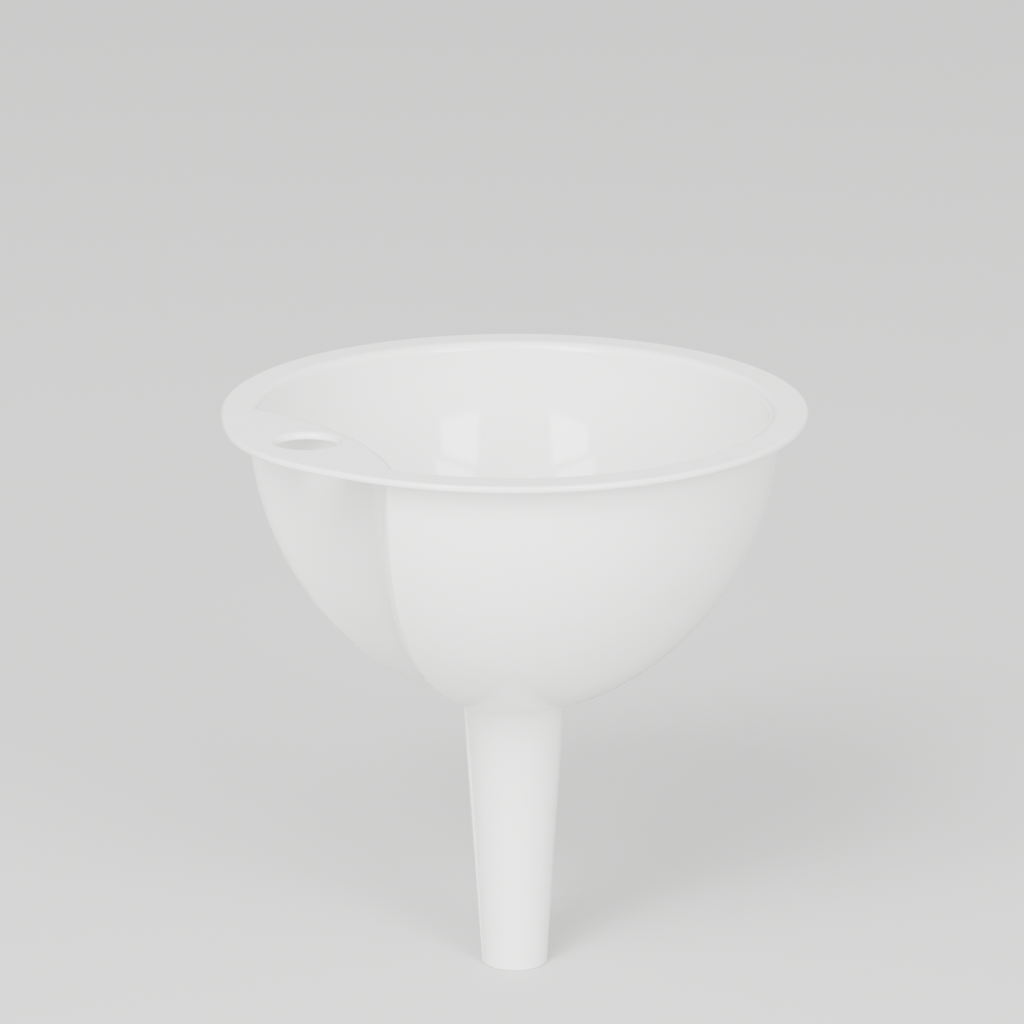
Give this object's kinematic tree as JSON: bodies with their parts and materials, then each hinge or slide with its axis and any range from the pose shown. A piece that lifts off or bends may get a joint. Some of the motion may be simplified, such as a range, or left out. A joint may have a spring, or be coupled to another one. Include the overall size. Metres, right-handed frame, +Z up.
{
  "type": "canning funnel",
  "caption": "Plastic kitchen funnel: a deep round bowl on a tapered spout, with a flat rim, a hanging tab with a round hole, and a grip recess.",
  "frame": {"origin": "centre of the spout's tip, on the funnel's axis", "axes": "+Z up along the funnel's axis, from the spout's tip to the rim; the hanging tab points to -X"},
  "size_m": [0.1218, 0.12, 0.1203],
  "materials": {
    "white_plastic": "gloss, moulded, very slightly translucent"
  },
  "bodies": {
    "root": {"bowl": "white_plastic", "rim": "white_plastic", "hanging_tab": "white_plastic", "grip_recess": "white_plastic", "spout": "white_plastic", "air_rib": "white_plastic"}
  },
  "joints": []
}
